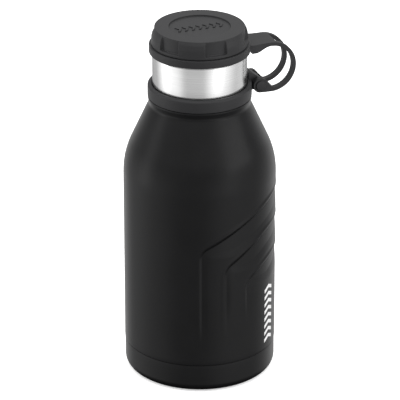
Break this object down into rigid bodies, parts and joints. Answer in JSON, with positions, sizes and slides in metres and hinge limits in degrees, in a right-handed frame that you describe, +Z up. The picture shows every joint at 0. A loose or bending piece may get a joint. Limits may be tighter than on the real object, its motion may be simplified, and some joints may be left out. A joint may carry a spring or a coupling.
{
  "type": "insulated growler",
  "caption": "Double-walled vacuum bottle with a tapered shoulder, steel neck and an insulated screw cap held by a looped strap on a swivelling collar.",
  "frame": {"origin": "centre of the base, at the height it stands on", "axes": "+Z up along the bottle's axis, +X towards the looped strap, +Y to the left of someone facing +X"},
  "size_m": [0.1352, 0.1196, 0.2866],
  "materials": {
    "coating": "satin black powder coat",
    "brushed_steel": "turned bright steel",
    "liner_steel": "electropolished steel",
    "sheet_steel": "plain mill finish",
    "foil": "bright copper-coloured foil",
    "sealing_glass": "smooth fused bead",
    "getter_grey": "pressed powder",
    "pad_rubber": "matt black",
    "charcoal_plastic": "fine moulded texture",
    "gasket_silicone": "smooth translucent grey",
    "foam": "closed-cell foam"
  },
  "bodies": {
    "bottle": {"outer_shell": "coating", "neck_shell": "brushed_steel", "base_cup": "coating", "foot_pad": "pad_rubber", "inner_liner": "liner_steel", "liner_bottom": "liner_steel", "foil_wrap": "foil", "outer_bottom": "sheet_steel", "vacuum_seal": "sealing_glass", "getter": "getter_grey", "getter_clip": "sheet_steel"},
    "collar": {"collar_ring": "charcoal_plastic", "pivot_pin": "charcoal_plastic", "pin_cap": "charcoal_plastic", "tether_strap": "charcoal_plastic"},
    "ring": {"tether_ring": "charcoal_plastic"},
    "seal": {"cap_gasket": "gasket_silicone"},
    "cap": {"cap_shell": "charcoal_plastic", "cap_plug": "charcoal_plastic", "cap_insulation": "foam"}
  },
  "joints": [
    {"name": "cap_turn", "type": "hinge", "parent": "seal", "child": "cap", "pos_m": [0, 0, 0.266], "axis": [0, 0, 1], "range_deg": [0, 720]},
    {"name": "cap_rise", "type": "slide", "parent": "bottle", "child": "seal", "axis": [0, 0, 1], "range_m": [0, 0.0181]},
    {"name": "tether_swivel", "type": "hinge", "parent": "bottle", "child": "collar", "pos_m": [0, 0, 0.232], "axis": [0, 0, 1], "continuous": true},
    {"name": "ring_rise", "type": "slide", "parent": "collar", "child": "ring", "axis": [0, 0, 1], "range_m": [0, 0.0181], "deforming": ["tether_strap"]}
  ],
  "couplings": [
    {"joint": "cap_rise", "follows": "cap_turn", "m_per_rad": 0.0014324},
    {"joint": "ring_rise", "follows": "cap_turn", "m_per_rad": 0.0014324}
  ]
}
